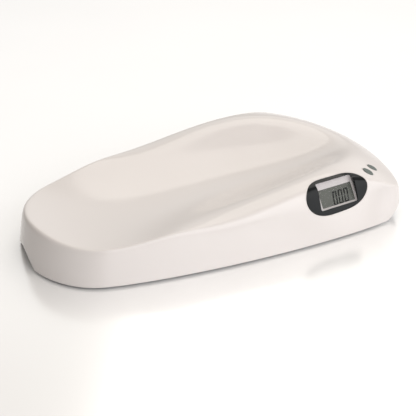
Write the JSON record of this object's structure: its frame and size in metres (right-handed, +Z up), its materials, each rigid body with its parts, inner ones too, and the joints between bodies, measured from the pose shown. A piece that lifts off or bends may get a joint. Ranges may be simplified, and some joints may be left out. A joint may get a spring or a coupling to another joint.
{
  "type": "animal weighing scale",
  "caption": "Tray-shaped electronic scale for small animals: scooped weighing tray, display in the side flank, press keys, load-cell feet and battery door.",
  "frame": {"origin": "centre of the bounding box in plan, on the plane the feet stand on", "axes": "+X along the scale towards the wide end with the display, -Y towards the display side where the user stands, +Z up"},
  "size_m": [0.5562, 0.3384, 0.0818],
  "materials": {
    "white_plastic": "high gloss",
    "base_plastic": "fine texture",
    "black_acrylic": "polished",
    "clear_acrylic": "polished clear",
    "bezel_plastic": "satin",
    "lcd_glass": "grey-green liquid crystal cell",
    "elastomer": "matte",
    "circuit_board": "solder mask",
    "chip_plastic": "moulded epoxy",
    "capacitor_can": "satin",
    "zinc_steel": "zinc plated",
    "key_rubber": "satin silicone",
    "dark_plastic": "fine texture",
    "foot_rubber": "matte",
    "cell_steel": "nickel plated",
    "holder_plastic": "moulded",
    "battery_jacket": "printed jacket, no lettering",
    "contact_steel": "nickel plated",
    "cable_jacket": "satin PVC"
  },
  "bodies": {
    "housing": {"tray_shell": "white_plastic", "base_cover": "base_plastic", "display_surround": "black_acrylic", "display_window": "clear_acrylic", "lcd_bezel": "bezel_plastic", "lcd_glass": "lcd_glass", "zebra_strip_upper": "elastomer", "zebra_strip_lower": "elastomer", "main_board": "circuit_board", "controller_chip": "chip_plastic", "adc_chip": "chip_plastic", "board_capacitor": "capacitor_can", "board_screw_1": "zinc_steel", "board_screw_2": "zinc_steel", "board_screw_3": "zinc_steel", "board_screw_4": "zinc_steel", "power_switch": "chip_plastic", "tare_switch": "chip_plastic", "key_board": "circuit_board", "key_board_screw_1": "zinc_steel", "key_board_screw_2": "zinc_steel", "load_cell_fr": "cell_steel", "cell_holder_fr": "holder_plastic", "load_cell_br": "cell_steel", "cell_holder_br": "holder_plastic", "load_cell_fl": "cell_steel", "cell_holder_fl": "holder_plastic", "load_cell_bl": "cell_steel", "cell_holder_bl": "holder_plastic", "case_screw_1": "zinc_steel", "case_screw_2": "zinc_steel", "case_screw_3": "zinc_steel", "case_screw_4": "zinc_steel", "case_screw_5": "zinc_steel", "case_screw_6": "zinc_steel", "battery_1": "battery_jacket", "battery_2": "battery_jacket", "battery_3": "battery_jacket", "battery_spring_strip": "contact_steel", "battery_contact_strip": "contact_steel", "cell_cable_fl": "cable_jacket", "cell_cable_bl": "cable_jacket", "cell_cable_br": "cable_jacket", "cell_cable_fr": "cable_jacket", "battery_lead": "cable_jacket", "key_lead": "cable_jacket"},
    "battery_door_body": {"battery_door": "base_plastic"},
    "power_key_body": {"power_key": "key_rubber", "power_plunger": "dark_plastic"},
    "tare_key_body": {"tare_key": "key_rubber", "tare_plunger": "dark_plastic"},
    "foot_fr_body": {"foot_fr": "dark_plastic", "foot_pad_fr": "foot_rubber"},
    "foot_br_body": {"foot_br": "dark_plastic", "foot_pad_br": "foot_rubber"},
    "foot_fl_body": {"foot_fl": "dark_plastic", "foot_pad_fl": "foot_rubber"},
    "foot_bl_body": {"foot_bl": "dark_plastic", "foot_pad_bl": "foot_rubber"}
  },
  "joints": [
    {"name": "power_key_press", "type": "slide", "parent": "housing", "child": "power_key_body", "axis": [-0.3104, 0.2102, -0.9271], "range_m": [0, 0.0005], "stiffness_N_per_m": 1500, "springref_m": -0.0001},
    {"name": "tare_key_press", "type": "slide", "parent": "housing", "child": "tare_key_body", "axis": [-0.3104, 0.2102, -0.9271], "range_m": [0, 0.0005], "stiffness_N_per_m": 1500, "springref_m": -0.0001},
    {"name": "battery_door_hinge", "type": "hinge", "parent": "housing", "child": "battery_door_body", "pos_m": [0.02209, 0, 0.006], "axis": [0, 1, 0], "range_deg": [0, 100]},
    {"name": "foot_fr_load", "type": "slide", "parent": "housing", "child": "foot_fr_body", "axis": [0, 0, 1], "range_m": [0, 0.0005], "stiffness_N_per_m": 1500, "springref_m": -0.0021},
    {"name": "foot_br_load", "type": "slide", "parent": "housing", "child": "foot_br_body", "axis": [0, 0, 1], "range_m": [0, 0.0005], "stiffness_N_per_m": 1500, "springref_m": -0.0021},
    {"name": "foot_fl_load", "type": "slide", "parent": "housing", "child": "foot_fl_body", "axis": [0, 0, 1], "range_m": [0, 0.0005], "stiffness_N_per_m": 1500, "springref_m": -0.0021},
    {"name": "foot_bl_load", "type": "slide", "parent": "housing", "child": "foot_bl_body", "axis": [0, 0, 1], "range_m": [0, 0.0005], "stiffness_N_per_m": 1500, "springref_m": -0.0021}
  ]
}
